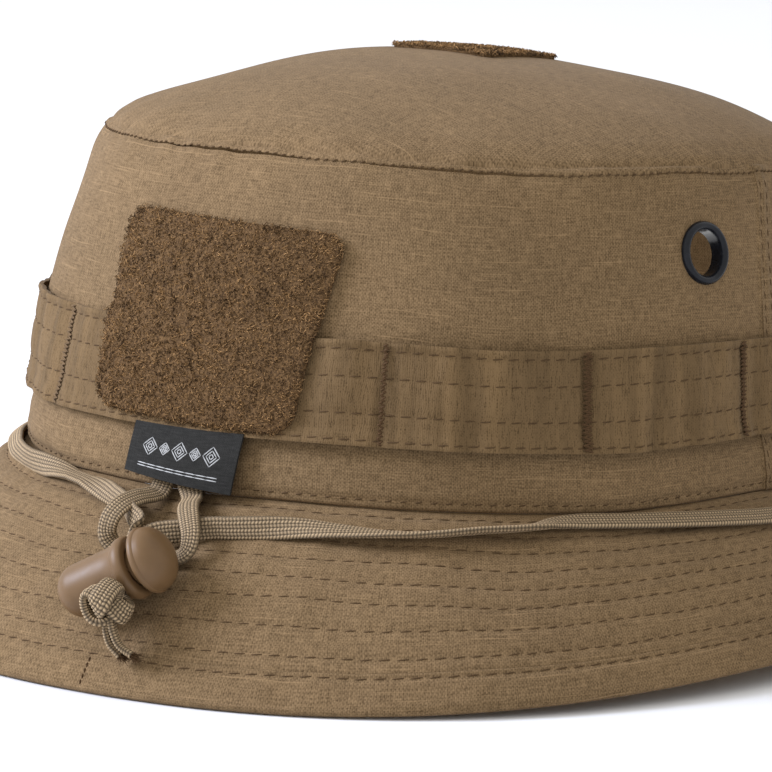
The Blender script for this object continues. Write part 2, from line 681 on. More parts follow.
def smooth_line(points, spacing):
    """Points at an even spacing along a smooth curve through the given ones, and where each given one lies."""
    points = np.array([tuple(p) for p in points])
    padded = np.concatenate([[2 * points[0] - points[1]], points, [2 * points[-1] - points[-2]]])
    dense = []
    for a, b, c, d in zip(padded, padded[1:], padded[2:], padded[3:]):
        for t in np.linspace(0, 1, 24, endpoint=False):
            dense.append(0.5 * (2 * b + (c - a) * t + (2 * a - 5 * b + 4 * c - d) * t ** 2
                                + (3 * b - a - 3 * c + d) * t ** 3))
    dense = np.array(dense + [points[-1]])
    travelled = lengths_along(dense)
    count = max(4, int(round(travelled[-1] / spacing)) + 1)
    even = np.linspace(0, travelled[-1], count)
    line = np.stack([np.interp(even, travelled, axis) for axis in dense.T], -1)
    return line, np.interp(np.arange(0, len(dense), 24), np.arange(len(dense)), travelled), even


def braid(name, line, wide, half_width, half_thick, closed=False, pitch=0.84 * MM, columns=6):
    """A flat braid along a line; wide holds the direction of its width at each point."""
    count = len(line)
    if closed:
        tangent = unit(np.roll(line, -1, 0) - np.roll(line, 1, 0))
    else:
        tangent = unit(np.gradient(line, axis=0))
    wide = unit(wide - tangent * (wide * tangent).sum(-1, keepdims=True))
    out = np.cross(tangent, wide)
    half_width = np.broadcast_to(half_width, count)
    half_thick = np.broadcast_to(half_thick, count)
    travelled = lengths_along(line)
    if closed:
        whole = travelled[-1] + np.linalg.norm(line[0] - line[-1])
        pitch = whole / round(whole / pitch)
    steps = 3 * columns
    places = [(-1 + 2 * k / steps, 1.0) for k in range(steps + 1)]
    places += [(1 - 2 * k / steps, -1.0) for k in range(1, steps)]
    points, shades, spots = [], [], []
    for k, (a, face) in enumerate(places):
        third = (k if face > 0 else 2 * steps - k)
        column, within = divmod(third, 3)
        lean = 1.0 if column % 2 == 0 else -1.0
        offset = (within - 1.5) / 1.5 if within else -1.0
        phase = 2 * math.pi * travelled / pitch + (0.0 if face > 0 else 1.3) + lean * 1.25 * offset
        grain = 0.5 + 0.5 * np.cos(phase)
        gap = float(within == 0)
        body_thick = half_thick * math.sqrt(max(0.0, 1.0 - abs(a) ** 3)) * 0.9 + 0.1 * half_thick * (abs(a) < 1)
        raised = body_thick + (1 - gap) * (0.02 + 0.13 * grain) * MM - gap * 0.06 * MM
        if abs(a) == 1:
            raised = np.zeros(count)
        sideways = half_width * a + np.sign(a) * (abs(a) > 0.99) * 0.16 * MM * grain
        points.append(line + wide * sideways[:, None] + out * (face * raised)[:, None])
        tone = (0.13 + 0.87 * grain) * (1.0 if within else 0.24) * (0.92 + 0.08 * lean)
        shades.append(np.clip(tone, 0, 1))
        spots.append(np.stack([np.full(count, k * 0.28 * MM), travelled], -1))
    points, shades, spots = (np.stack(rows, 1) for rows in (points, shades, spots))
    spots = spots.reshape(-1, 2)
    around_count = len(places)
    spans = count if closed else count - 1
    i, k = np.meshgrid(np.arange(spans), np.arange(around_count), indexing="ij")
    ids = quads(i, k, (i + 1) % count, (k + 1) % around_count, around_count)
    faces = ids.tolist()
    uvs = spots[ids].reshape(-1, 2)
    if not closed:
        lids = [list(range(around_count)), [(count - 1) * around_count + n for n in range(around_count)]]
        faces += lids
        uvs = np.concatenate([uvs] + [spots[lid] for lid in lids])
    return add_mesh(name, points.reshape(-1, 3), faces, webbing(), uvs, "hat", shades.ravel())


def drawcord():
    """The cord from the knot through the lock and keeper, once round the crown, and back to the knot."""
    inward = [np.array(LOCK_CENTRE + CORD_DIRECTION * d * MM) for d in (6.4, 0.0, -6.0, -10.0)]
    shift = np.array(LOCK_AXIS) * STRAND_OFFSET
    over = ROUTE_LEFT + ROUTE_RIGHT
    route = [p - shift for p in inward] + [on_brim(p) for p in over] + [p + shift for p in inward[::-1]]
    line, knots, even = smooth_line(route, 0.26 * MM)
    line = relax(line)
    roll_at, roll_by = np.array(sorted(CORD_ROLL)).T
    widths, halves = [], []
    for number in range(len(route)):
        if number < 4 or number >= len(route) - 4:
            widths.append(np.array(LOCK_AXIS))
            halves.append((1.75, 1.75, 2.0, 2.2)[min(number, len(route) - 1 - number)] * MM)
            continue
        place = over[number - 4]
        angle = np.array(math.radians(place[0]))
        reach = np.array(place[1] * MM / BRIM_RUN_END)
        away = unit(over_brim(angle, reach + 0.05) - over_brim(angle, reach))
        up = normals(brim, angle, reach, -1)
        turn = float(around(place[0], 360.0))
        roll = math.radians(np.interp(turn, roll_at, roll_by, left=2.0, right=2.0))
        widths.append(away * math.cos(roll) + up * math.sin(roll))
        halves.append(CORD_WIDTH / 2)
    first = np.array(widths)
    for number in range(1, len(first)):
        if np.dot(first[number], first[number - 1]) < 0:
            first[number] *= -1
    wide = np.stack([np.interp(even, knots, axis) for axis in first.T], -1)
    half = np.interp(even, knots, halves)
    thick = np.interp(half, [1.75 * MM, CORD_WIDTH / 2], [1.0 * MM, CORD_THICKNESS / 2])
    cord = braid("drawcord_braid", line, wide, half, thick)
    return stand_in(cord, "drawcord"), line


def knot():
    """An overhand knot drawn tight, with the braid's face turned outwards all round."""
    turn = np.linspace(0, 2 * math.pi, 560, endpoint=False)
    local = np.stack([np.sin(turn) + 2 * np.sin(2 * turn), np.cos(turn) - 2 * np.cos(2 * turn),
                      -1.9 * np.sin(3 * turn)], -1) * 1.52 * MM
    local[:, 1] *= 1.12
    local[:, 2] *= 0.92
    z = CORD_DIRECTION
    x = LOCK_AXIS
    y = z.cross(x)
    tilt = Matrix.Rotation(math.radians(24), 3, "X") @ Matrix.Rotation(math.radians(KNOT_TURN), 3, "Z")
    basis = np.array(Matrix((x, y, z)).transposed() @ tilt)
    middle = np.array(LOCK_CENTRE + CORD_DIRECTION * (KNOT_DISTANCE - 1.0 * MM) + LOCK_AXIS * 0.8 * MM)
    line = middle + local @ basis.T
    tangent = unit(np.roll(line, -1, 0) - np.roll(line, 1, 0))
    wide = np.cross(tangent, unit(line - middle))
    piece = braid("knot_braid", line, wide, 2.6 * MM, 1.0 * MM, closed=True, pitch=0.66 * MM, columns=6)
    stand_in(piece, "stopper_knot")
    tails = []
    for side, sign, bend in (("left", -1.0, 0.0), ("right", 1.0, 1.0)):
        start = middle + np.array((0.6 + 0.5 * sign, 0.2, -3.2)) * MM
        points = [start, start + np.array((-0.2 + 0.9 * bend, 0.2, -3.4)) * MM,
                  start + np.array((0.4 + 1.6 * bend, 0.8, -6.4)) * MM,
                  start + np.array((2.0 + 2.6 * bend, 1.8, -8.7 + 0.5 * bend)) * MM]
        tail_line, _, _ = smooth_line(points, 0.17 * MM)
        across = np.broadcast_to(np.array((0.35, -0.80, 0.30)), tail_line.shape)
        tail = braid(f"tail_braid_{side}", tail_line, across, 2.1 * MM, 0.75 * MM, pitch=0.66 * MM, columns=5)
        tails.append(stand_in(tail, f"cord_tail_{side}"))
        end, before = tail_line[-1], tail_line[-6]
        along = unit(end - before)
        rng = np.random.default_rng(91 + int(bend))
        frays = []
        for _ in range(70):
            spread = rng.normal(0, 0.38, 3)
            root = end - along * 0.5 * MM + across[0] * rng.uniform(-1.7, 1.7) * MM + rng.normal(0, 0.25, 3) * MM
            reach = rng.uniform(1.0, 2.4) * MM
            steps = np.linspace(0, 1, 5)[:, None]
            frays.append(root + (along + spread * steps * 0.9) * steps * reach)
        points, faces = threads(np.array(frays), 0.11 * MM, 3, 0.5)
        fray = add_mesh(f"tail_fray_{side}", points, faces, dark_thread())
        tails.append(fray)
    return piece, tails


def keeper():
    """The loop that holds both runs of the cord, sewn in under the label."""
    first = [on_crown(-math.pi / 2 - KEEPER_ENDS / BASE_HALF_LENGTH, h, 1.4 * MM) for h in (0.12, 0.05)]
    last = [on_crown(-math.pi / 2 + KEEPER_ENDS / BASE_HALF_LENGTH, h, 1.4 * MM) for h in (0.05, 0.12)]
    route = first + [on_brim(p) for p in KEEPER] + last
    line, _, even = smooth_line(route, 0.18 * MM)
    wide = np.cross(unit(np.gradient(line, axis=0)), (0.25, -0.75, 0.60))
    narrow = bell(even / even[-1] - 0.5, 0.17)
    half = (2.65 - 1.1 * narrow) * MM
    thick = (0.7 + 0.35 * narrow) * MM
    piece = braid("keeper_braid", relax(line), wide, half, thick, pitch=0.70 * MM)
    stand_in(piece, "keeper_loop")


# ---------------------------------------------------------------- crown

def row_groove(distance, depth=0.26 * MM, width=0.9 * MM):
    return -depth * bell(distance, width)


def band_angles():
    """Angles of the bartacks, which part the band into equal lengths."""
    start = math.radians(BAND_SEAM_ANGLE)
    angles = np.linspace(start, start + 2 * math.pi, 721)
    ring = crown_side(angles, np.full_like(angles, (BAND_LOW + BAND_HIGH) / 2))
    travelled = np.concatenate([[0], np.cumsum(np.linalg.norm(np.diff(ring, axis=0), axis=1))])
    return np.interp(np.arange(BARTACK_COUNT) * travelled[-1] / BARTACK_COUNT, travelled, angles)


def seam_ridge(angle):
    """Folded seam allowance on the front side of each side seam, between two rows of stitches."""
    rise = np.zeros_like(np.asarray(angle, float))
    for middle, sign in ((0.0, 1.0), (math.pi, -1.0)):
        across = around(angle - middle) * sign * BASE_HALF_WIDTH
        rise += 0.5 * MM * smoothstep(across, -0.5 * MM, 0.3 * MM) * smoothstep(across, 5.4 * MM, 4.2 * MM)
        rise += sum(row_groove(across - row, 0.3 * MM, 0.6 * MM) for row in SEAM_ROWS)
    return rise


def side_relief(angle, height):
    """How far the crown's side stands off its smooth shape."""
    flat = flat_grid(angle * BASE_HALF_LENGTH, height * SIDE_LENGTH)
    below_tip = (1.0 - height) * SIDE_LENGTH
    pucker = 0.30 * MM * noise(flat * (1.0, 0.35, 1.0), 5.5 * MM, 11) * bell(below_tip, 9 * MM)
    pucker += 0.34 * MM * noise(flat * (1.0, 0.3, 1.0), 13 * MM, 12) * bell(below_tip, 24 * MM)
    slack = 0.40 * MM * noise(flat * (0.55, 1.2, 1.0), 20 * MM, 13)
    above_edge = height * SIDE_LENGTH
    lip = 0.75 * MM * smoothstep(above_edge, 7.0 * MM, 2.2 * MM) - 0.5 * MM * bell(above_edge, 0.5 * MM)
    lip += 0.6 * MM * bell(above_edge - 6.5 * MM, 5.0 * MM) - 1.1 * MM * bell(above_edge - 15.5 * MM, 4.5 * MM)
    lip += 0.2 * MM * noise(flat * (1.0, 0.4, 1.0), 6 * MM, 14) * bell(above_edge - 2 * MM, 3.5 * MM)
    return pucker + slack + lip + row_groove(above_edge - LOWER_EDGE_ROW) + seam_ridge(angle)


def side_panel(name, node, first, last):
    angles = np.radians(np.linspace(first, last, 401))
    heights = np.concatenate([np.linspace(0.002, 0.06, 12), np.linspace(0.075, 0.88, 46), np.linspace(0.895, 0.975, 8)])
    angle, height = np.meshgrid(angles, heights, indexing="ij")
    relief = side_relief(angle, height)
    outer = on_crown(angle, height, relief)
    inner = on_crown(angle, height, relief - 0.9 * MM - 0.8 * MM * smoothstep(height, 0.03, 0.0))
    middle_angle = (angle[:-1, :-1] + angle[1:, 1:]) / 2
    middle_height = (height[:-1, :-1] + height[1:, 1:]) / 2
    holes = np.zeros(middle_angle.shape, bool)
    for vent in (EYELET_ANGLE, -EYELET_ANGLE, 180 - EYELET_ANGLE, 180 + EYELET_ANGLE):
        centre = on_crown(np.array(math.radians(vent)), np.array(EYELET_HEIGHT))
        holes |= np.linalg.norm(on_crown(middle_angle, middle_height) - centre, axis=-1) < EYELET_BORE + 0.9 * MM
    u = angles * BASE_HALF_LENGTH
    piece = shell(name, outer, inner, u, heights * SIDE_LENGTH, ripstop(), False, holes)
    stand_in(piece, node)


def lip_wave(angle):
    """The tip seam's lower line wanders up and down a little as it goes round."""
    flat = flat_grid(np.cos(angle), np.sin(angle)) * TIP_HALF_LENGTH
    return 0.45 * MM * noise(flat, 22 * MM, 21) + 0.12 * MM * noise(flat, 7 * MM, 22)


def dome_relief(angle, reach):
    """How far the crown's top stands off its smooth shape."""
    spot = dome(angle, reach)
    inward = (1.0 - reach) * TIP_HALF_WIDTH
    ring = np.stack([np.cos(angle), np.sin(angle), reach], -1) * TIP_HALF_WIDTH * (1.0, 1.0, 0.3)
    relief = 0.30 * MM * noise(ring, 5.5 * MM, 31) * bell(inward, 6 * MM)
    relief += 0.36 * MM * noise(ring, 13 * MM, 32) * bell(inward, 20 * MM)
    relief += 0.45 * MM * noise(spot, 24 * MM, 33)
    return relief + 0.28 * MM * bell(inward - 2.2 * MM, 2.0 * MM)


def crown_top():
    """The dome, rolled over the side panels at the tip seam: two grids of points."""
    angles = np.linspace(0, 2 * math.pi, 720, endpoint=False)
    reaches = np.concatenate([np.linspace(0.0, 0.88, 44), np.linspace(0.892, 0.994, 18)])
    angle, reach = np.meshgrid(angles, reaches, indexing="ij")
    relief = dome_relief(angle, reach)
    drop = LIP_DEPTH + lip_wave(angles)
    downs, backs = [], []
    for share, stand_off in ((0.0, 0.26), (0.35, 0.38), (0.62, 0.40), (0.82, 0.35), (0.95, 0.22), (1.0, 0.06)):
        height = 1.0 - share * drop / SIDE_LENGTH
        downs.append(on_crown(angles, height, side_relief(angles, height) + stand_off * MM))
        height = 1.0 - (share * drop + (1 - share) * 1.2 * MM) / SIDE_LENGTH
        backs.append(on_crown(angles, height, side_relief(angles, height) + 0.06 * MM))
    outer = np.concatenate([on_dome(angle, reach, relief), np.stack(downs, 1)], 1)
    inner = np.concatenate([on_dome(angle, reach, relief - 0.75 * MM), np.stack(backs, 1)], 1)
    return outer, inner


def dome_piece():
    outer, inner = crown_top()
    points = relax(np.concatenate([outer.reshape(-1, 3), inner.reshape(-1, 3)]))
    rows, columns = outer.shape[:2]
    i, j = np.meshgrid(np.arange(rows), np.arange(1, columns - 1), indexing="ij")
    grid = quads(i, j, (i + 1) % rows, j + 1, columns)
    total = rows * columns
    step = np.arange(rows)
    following = (step + 1) % rows
    edge, edge_next = (at * columns + columns - 1 for at in (step, following))
    rim = np.stack([edge, edge_next, edge_next + total, edge + total], -1)
    faces = grid.tolist() + (grid + total).tolist() + rim.tolist()
    for layer in (0, total):
        middle = np.full(rows, layer)
        faces += np.stack([middle, layer + step * columns + 1, layer + following * columns + 1], -1).tolist()
    corners = np.concatenate([np.asarray(face) for face in faces])
    uvs = points[corners][:, :2]
    points, renumber = without_spares(points, corners)
    faces = [renumber[np.asarray(face)].tolist() for face in faces]
    stand_in(add_mesh("crown_top_cloth", points, faces, ripstop(), uvs), "crown_top_panel")


def crown_stitches():
    """Rows along the tip seam, the lower edge and both side seams."""
    angles = np.linspace(0, 2 * math.pi, 1500)
    height = 1.0 - 1.02 * (LIP_DEPTH + lip_wave(angles)) / SIDE_LENGTH
    lift = side_relief(angles, height) + 0.12 * MM
    paths = [stitched(on_crown, angles, height, lift, 2.3 * MM, 0.62, 0.1 * MM, 0.22 * MM, 0.3 * MM)]
    height = np.full_like(angles, LOWER_EDGE_ROW / SIDE_LENGTH)
    paths.append(stitched(on_crown, angles, height, side_relief(angles, height), 3.4 * MM, 0.6))
    heights = np.linspace(0.02, 0.955, 300)
    for middle, sign in ((0.0, 1.0), (math.pi, -1.0)):
        for across in SEAM_ROWS:
            angle = np.full_like(heights, middle + sign * across / BASE_HALF_WIDTH)
            paths.append(stitched(on_crown, angle, heights, side_relief(angle, heights), 2.9 * MM))
    sewn("crown_stitching", paths)


# ---------------------------------------------------------------- band

def patch_share(angle):
    """1 away from the rear patch, 0 under it."""
    across = np.abs(around(angle + math.pi / 2)) * BASE_HALF_LENGTH / BACK_CURVATURE
    return smoothstep(across, PATCH_WIDTH / 2 - 0.4 * MM, PATCH_WIDTH / 2 + 9.6 * MM)


def band_relief(angle, share):
    """Stand-off of the band's outer face; share runs from 0 at its lower edge to 1 at its upper one."""
    arc = np.asarray(angle, float) * BASE_HALF_LENGTH
    nearest = np.min([np.abs(around(angle - a)) for a in band_angles()], axis=0) * BASE_HALF_LENGTH
    free = 1.0 - bell(nearest, 7 * MM)
    flat = flat_grid(arc, share * BAND_WIDTH)
    bulge = 0.85 * MM * free * smoothstep(share, 0.0, 0.5) * patch_share(angle)
    upright = 0.72 * MM * noise(flat * (1.0, 0.12, 1.0), 4.6 * MM, 41) * (0.4 + 0.6 * patch_share(angle))
    fine = 0.14 * MM * noise(flat * (1.0, 0.3, 1.0), 1.9 * MM, 42)
    edges = -0.30 * MM * (bell(share, 0.022) + bell(1 - share, 0.022))
    rows = sum(row_groove((share - row) * BAND_WIDTH, 0.30 * MM, 0.8 * MM) for row in BAND_ROWS)
    tack = -0.45 * MM * bell(nearest, 1.5 * MM)
    lower = 1.15 * MM * smoothstep(share, 0.20, 0.0)
    upper = 0.55 * MM * smoothstep(share, 0.86, 1.0)
    return 1.55 * MM + bulge + upright + fine + edges + rows + tack + lower + upper


def band_height(share):
    return BAND_LOW + (BAND_HIGH - BAND_LOW) * np.asarray(share, float)


def foliage_band():
    angles = np.linspace(0, 2 * math.pi, 900, endpoint=False)
    shares = np.concatenate([np.linspace(0, 0.11, 8), np.linspace(0.135, 0.86, 22), np.linspace(0.885, 1.0, 8)])
    angle, share = np.meshgrid(angles, shares, indexing="ij")
    ends = -0.2 * MM * bell(around(angle - math.radians(BAND_SEAM_ANGLE + 0.9)) * BASE_HALF_LENGTH, 0.5 * MM)
    relief = band_relief(angle, share) + ends
    outer = on_crown(angle, band_height(share), relief)
    inner = on_crown(angle, band_height(share), relief - 1.0 * MM)
    u = np.linspace(0, 2 * math.pi, 901) * BASE_HALF_LENGTH
    piece = shell("foliage_band_cloth", outer, inner, u, shares * BAND_WIDTH, band_cloth(), True)
    stand_in(piece, "foliage_band")
    paths = []
    turn = np.linspace(0, 2 * math.pi, 1500)
    for row in BAND_ROWS:
        share = np.full_like(turn, row)
        paths.append(stitched(on_crown, turn, band_height(share), band_relief(turn, share), 3.7 * MM))
    sewn("band_stitching", paths, 0.15 * MM)


def bartacks():
    """Each bartack: a dense column of crossing stitches, the full height of the band.

    The first is the narrow one at the band's seam, and the ones on the left lie lower, in paler thread.
    """
    parts = np.linspace(-1, 1, 5)
    for number, middle in enumerate(band_angles(), start=1):
        node = f"bartack_{number:02d}"
        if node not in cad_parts:
            continue
        faint = number > 10
        half = (0.5 if number == 1 else 1.15) * MM / BASE_HALF_LENGTH
        rise = (0.40 if faint else 0.62 if number < 3 else 1.0) * MM
        paths = []
        for k, share in enumerate(np.linspace(0.03, 0.97, BARTACK_STITCHES)):
            shares = share + 0.014 * (1 if k % 2 else -1) * parts
            angle = middle + 0.25 * MM * math.sin(k * 1.9) / BASE_HALF_LENGTH + half * parts
            lift = band_relief(angle, shares) + rise - 0.20 * MM * parts ** 2
            paths.append(on_crown(angle, band_height(shares), lift))
        points, faces = threads(np.array(paths), (0.22 if faint else 0.28) * MM)
        finish = pale_thread() if faint else dark_thread()
        stand_in(add_mesh(f"bartack_thread_{number:02d}", relax(points), faces, finish), node)


# ---------------------------------------------------------------- patches and label

def inside_rounded(x, y, half_width, half_height, corner):
    dx = np.maximum(np.abs(x) - (half_width - corner), 0)
    dy = np.maximum(np.abs(y) - (half_height - corner), 0)
    return np.hypot(dx, dy) <= corner


def rounded_outline(half_width, half_height, corner, spacing=1.2 * MM):
    corners = []
    for cx, cy, start in ((1, 1, 0), (-1, 1, 90), (-1, -1, 180), (1, -1, 270)):
        for step in np.linspace(0, 90, 9):
            turn = math.radians(start + step)
            corners.append((cx * (half_width - corner) + corner * math.cos(turn),
                            cy * (half_height - corner) + corner * math.sin(turn)))
    outline = []
    for here, there in zip(corners, corners[1:] + corners[:1]):
        pieces = max(1, round(math.dist(here, there) / spacing))
        outline += [(here[0] + (there[0] - here[0]) * k / pieces, here[1] + (there[1] - here[1]) * k / pieces)
                    for k in range(pieces)]
    return np.array(outline)


def loop_patch(name, node, place, half_width, half_height, corner, count, seed, pile_height):
    """A backing with rounded edges and a pile of small loops; place(x, y, lift) maps it onto the hat."""
    outline = rounded_outline(half_width, half_height, corner)
    scales = np.concatenate([[1.0, 0.997, 0.985, 0.965, 0.94], np.linspace(0.9, 0.0, 16)])
    rise = pile_height * np.concatenate([[0.15, 0.45, 0.68, 0.76, 0.78], np.full(16, 0.78)])
    top = []
    for scale, lift in zip(scales, rise):
        x, y = outline[:, 0] * scale, outline[:, 1] * scale
        rough = 0.14 * MM * noise(flat_grid(x, y) + (0, 0, seed * MM), 1.6 * MM, seed)
        top.append(place(x, y, lift + rough * (0.2 if scale > 0.98 else 1.0)))
    bottom = [place(outline[:, 0] * s, outline[:, 1] * s, 0.0) for s in (1.0, 0.9, 0.6, 0.3, 0.0)]
    rows = top[:-1] + [top[-1][:1]] + bottom[:-1] + [bottom[-1][:1]]
    starts = np.cumsum([0] + [len(row) for row in rows])
    ids = [np.arange(a, b) for a, b in zip(starts, starts[1:])]
    faces = []
    size = len(outline)

    def join(first, second):
        for i in range(size):
            j = (i + 1) % size
            corners = [first[i % len(first)], first[j % len(first)], second[j % len(second)], second[i % len(second)]]
            faces.append([int(c) for c in dict.fromkeys(corners)])

    last = len(top) - 1
    pairs = list(zip(ids[:last], ids[1:last + 1])) + list(zip(ids[last + 1:-1], ids[last + 2:]))
    for first, second in pairs + [(ids[0], ids[last + 1])]:
        join(first, second)
    backing = np.concatenate(rows)
    rng = np.random.default_rng(seed)
    reach_x, reach_y = half_width + 0.2 * MM, half_height + 0.2 * MM
    spots = rng.uniform(-1, 1, (count * 2, 2)) * (reach_x, reach_y)
    spots = spots[inside_rounded(*spots.T, reach_x, reach_y, corner)][:count]
    made = len(spots)
    lean = rng.uniform(0, 2 * math.pi, made)
    reach = rng.uniform(0.30, 0.75, made) * MM
    height = rng.uniform(0.25, 0.75, made) * MM
    parts = np.linspace(0, 1, 3)
    bow = np.sin(math.pi * parts)
    curl = rng.uniform(-0.6, 0.6, made) * MM
    forward, sideways = reach[:, None] * (parts - 0.5) * 2, curl[:, None] * bow
    x = spots[:, :1] + np.cos(lean)[:, None] * forward - np.sin(lean)[:, None] * sideways
    y = spots[:, 1:] + np.sin(lean)[:, None] * forward + np.cos(lean)[:, None] * sideways
    root = rng.uniform(0.45, 0.95, made) * pile_height
    lift = root[:, None] - 0.25 * MM + height[:, None] * bow
    fibre, fibre_faces = threads(place(x, y, lift), rng.uniform(0.07, 0.125, made) * MM, 3, 0.7)
    flat = flat_grid(*spots.T)
    blotch = noise(flat, 2.6 * MM, seed + 5) + 0.6 * noise(flat, 1.1 * MM, seed + 6)
    tone = np.clip(0.36 + 0.22 * rng.standard_normal(made) + 0.24 * blotch + 0.5 * (root / pile_height - 0.7), 0, 1)
    per_fibre = len(parts) * 3
    shade = np.repeat(tone, per_fibre) * np.tile(np.repeat(0.6 + 0.46 * bow, 3), made)
    shift = len(backing)
    faces += [[c + shift for c in face] for face in fibre_faces]
    shades = np.concatenate([np.full(shift, 0.16), shade])
    piece = add_mesh(name, relax(np.concatenate([backing, fibre])), faces, pile(), None, "hat", shades)
    stand_in(piece, node)


def rear_patch_place(x, y, lift):
    """A point on the rear patch: a flat piece laid on the crown, a little out of square."""
    across = x * (1.0 + PATCH_SPREAD * y) + y * PATCH_TILT + PATCH_SHIFT
    height = (PATCH_LOW + PATCH_HIGH) / 2 + (y - x * PATCH_TILT) / SIDE_LENGTH
    radius = np.linalg.norm(crown_side(np.full_like(height, -math.pi / 2), height)[..., :2], axis=-1)
    angle = -math.pi / 2 + across / radius
    step = smoothstep(height, BAND_HIGH - 0.005, BAND_HIGH + 0.045)
    floor = 1.95 * MM * (1 - step) + 0.5 * MM * step
    return on_crown(angle, height, side_relief(angle, height) * step + floor + lift)


def patches():
    half_height = (PATCH_HIGH - PATCH_LOW) / 2 * SIDE_LENGTH
    loop_patch("rear_patch_pile", "loop_patch_rear", rear_patch_place, PATCH_WIDTH / 2, half_height,
               PATCH_CORNER, 13600, 51, 1.5 * MM)

    def top(x, y, lift):
        forward = y + TOP_PATCH_FORWARD - TIP_SHIFT_FORWARD
        reach = np.hypot(x, forward) / TIP_HALF_WIDTH
        angle = np.arctan2(forward, x)
        return on_dome(angle, reach, dome_relief(angle, np.clip(reach, 0.004, None)) + 0.04 * MM + lift)

    half = TOP_PATCH_SIZE / 2
    loop_patch("top_patch_pile", "loop_patch_top", top, half, half, TOP_PATCH_CORNER, 5200, 52, 1.15 * MM)


def label_point(x, height, lift):
    down = (LABEL_HIGH - height) / (LABEL_HIGH - LABEL_LOW)
    stand_off = (1.95 + (5.3 - 1.95) * down) * MM
    bowed = 0.5 * MM * down * (x / (LABEL_WIDTH / 2)) ** 2
    across = x * (1 - 0.035 * down) + LABEL_SHIFT - 0.6 * MM * down
    rise = down * (1.6 - 1.3 * x / (LABEL_WIDTH / 2)) * MM / SIDE_LENGTH
    return on_crown(-math.pi / 2 + across / BASE_HALF_LENGTH, height + rise, stand_off - bowed + lift)


def label():
    """Woven label: a folded tape with crisp edges, a thin border and a plain pattern of lozenges."""
    xs = np.linspace(-LABEL_WIDTH / 2, LABEL_WIDTH / 2, 61)
    heights = np.linspace(LABEL_LOW, LABEL_HIGH, 30)
    x, height = np.meshgrid(xs, heights, indexing="ij")
    weave = 0.02 * MM * noise(flat_grid(x, height * SIDE_LENGTH), 0.7 * MM, 61)
    outer = label_point(x, height, 0.7 * MM + weave)
    inner = label_point(x, height, 0.05 * MM)
    finish = cloth("label_weave", (0.014, 0.0135, 0.012), (0.038, 0.0365, 0.033), 0.0, 0.5, 0.3, 0.0003)
    piece = shell("label_cloth", outer, inner, xs, heights * SIDE_LENGTH, finish, False, body="label")
    stand_in(piece, "label")
    middle = (LABEL_LOW + LABEL_HIGH) / 2 * SIDE_LENGTH

    def path(points):
        points = np.array(points, float)
        return relax(label_point(points[:, 0], points[:, 1] / SIDE_LENGTH, 0.74 * MM))

    paths = []
    for k in range(-2, 3):
        size = (2.2 if k % 2 == 0 else 1.5) * MM
        for shrink in (1.0, 0.62, 0.28):
            s = size * shrink
            corners = [(k * 4.3 * MM + dx * s, middle + 0.9 * MM + dy * s * 1.1) for dx, dy in
                       ((1, 0), (0, 1), (-1, 0), (0, -1), (1, 0))]
            for here, there in zip(corners, corners[1:]):
                parts = np.linspace(0, 1, 5)[:, None]
                paths.append(path(np.array(here) * (1 - parts) + np.array(there) * parts))
    for level in (3.9, 4.6):
        for k in range(8):
            start = (-11.2 + k * 2.8) * MM
            line = np.linspace(start, start + 2.8 * MM, 5)
            paths.append(path(np.stack([line, np.full(5, middle - level * MM)], -1)))
    pale = plain("label_thread", (0.42, 0.42, 0.41), 0.8, 0.15, 2500.0)
    points, faces = threads(np.array(paths), 0.14 * MM)
    mark = add_mesh("label_pattern", points, faces, pale, body="label")


# ---------------------------------------------------------------- brim

def brim_rows(angle):
    """The reach of every row of stitches at an angle; the inner ones crowd together towards the right."""
    turn = np.degrees(around(angle))
    crowd = smoothstep(turn, -60.0, -34.0) * (1.0 - smoothstep(turn, 50.0, 110.0))
    flat = flat_grid(np.cos(angle), np.sin(angle)) * BRIM_MEAN_RADIUS
    rows = [row + 0.004 * noise(flat, 16 * MM, 90 + k) for k, row in enumerate(BRIM_STEADY_ROWS)]
    for number, (apart, close) in enumerate(BRIM_DRIFTING_ROWS):
        rows.append(apart + (close - apart) * crowd + 0.009 * noise(flat, 22 * MM, 95 + number))
    return rows


def brim_groove(angle, reach):
    """The stitches pull every row down; the row on the binding's inner edge is deepest."""
    depth = np.zeros_like(reach)
    for number, row in enumerate(brim_rows(angle)):
        deep, width = (0.55, 0.9) if number == BINDING_ROW else (0.34, 0.85)
        depth = np.minimum(depth, row_groove((reach - row) * BRIM_SLOPE_LENGTH, deep * MM, width * MM))
    return depth


def brim_relief(angle, reach):
    """How far the brim stands off its smooth shape."""
    polar = flat_grid(angle * BRIM_MEAN_RADIUS, reach * BRIM_SLOPE_LENGTH)
    pucker = 0.20 * MM * noise(polar * (1.0, 0.4, 1.0), 4.5 * MM, 71)
    pucker += 0.24 * MM * noise(polar * (1.0, 0.6, 1.0), 10 * MM, 72)
    swell = 0.5 * MM * noise(brim(angle, reach), 30 * MM, 73)
    return brim_groove(angle, reach) + (pucker + swell) * smoothstep(reach, 0.0, 0.08)


def brim_layer(name, node, top, bottom, columns, rows, end, finish):
    reaches = np.linspace(0.0, end, columns)
    angle, reach = np.meshgrid(np.linspace(0, 2 * math.pi, rows, endpoint=False), reaches, indexing="ij")
    relief = brim_relief(angle, reach)
    u = np.linspace(0, 2 * math.pi, rows + 1) * BRIM_MEAN_RADIUS
    outer, inner = (over_brim(angle, reach, level * MM + relief) for level in (top, bottom))
    stand_in(shell(name, outer, inner, u, reaches * BRIM_SLOPE_LENGTH, finish, True), node)


